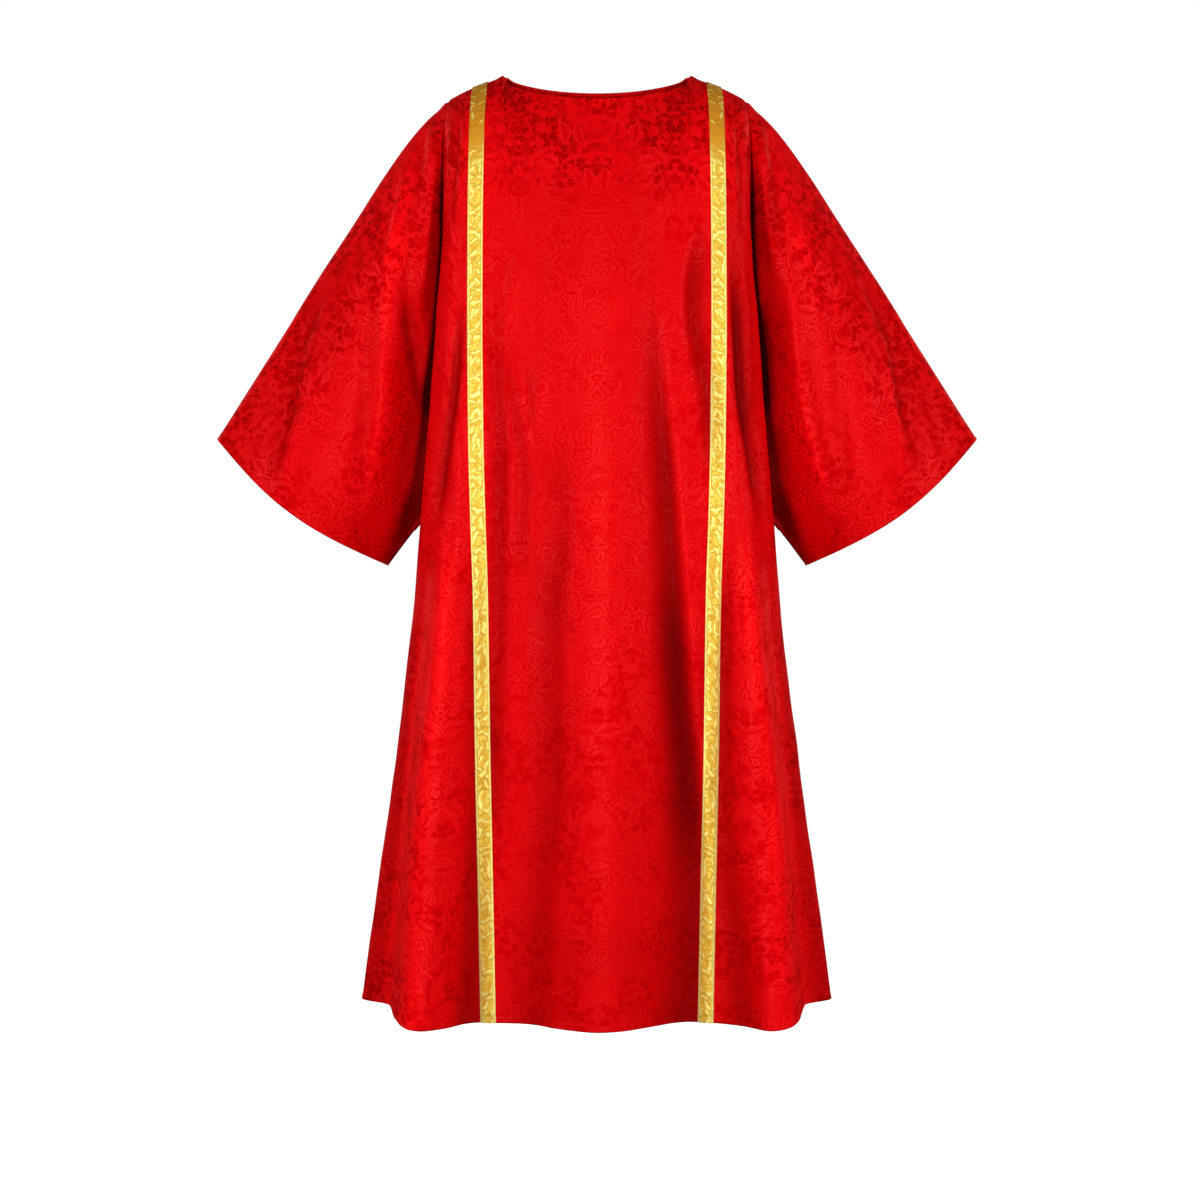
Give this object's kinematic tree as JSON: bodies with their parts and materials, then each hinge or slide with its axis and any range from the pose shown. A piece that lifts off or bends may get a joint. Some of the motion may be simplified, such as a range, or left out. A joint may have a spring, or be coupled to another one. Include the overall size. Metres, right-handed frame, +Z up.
{
  "type": "dalmatic",
  "caption": "Knee-length red damask dalmatic in worn form: bell-shaped body, wide open sleeves, scooped neckline and narrow gold brocade bands from hem to hem over the shoulders",
  "frame": {"origin": "midway between the two points where the neckline meets the shoulder ridge, where the garment rests on its wearer's shoulders", "axes": "+Z up, +X to the wearer's left, the wearer faces -Y"},
  "size_m": [1.02, 0.4149, 1.2546],
  "materials": {
    "red_damask": "tone-on-tone damask with a soft silk sheen",
    "gold_brocade": "metallic-thread brocade ribbon with stitched edges"
  },
  "bodies": {
    "root": {"front_panel": "red_damask", "back_panel": "red_damask", "sleeve_left": "red_damask", "sleeve_right": "red_damask", "band_left": "gold_brocade", "band_right": "gold_brocade", "neck_binding": "red_damask"}
  },
  "joints": []
}
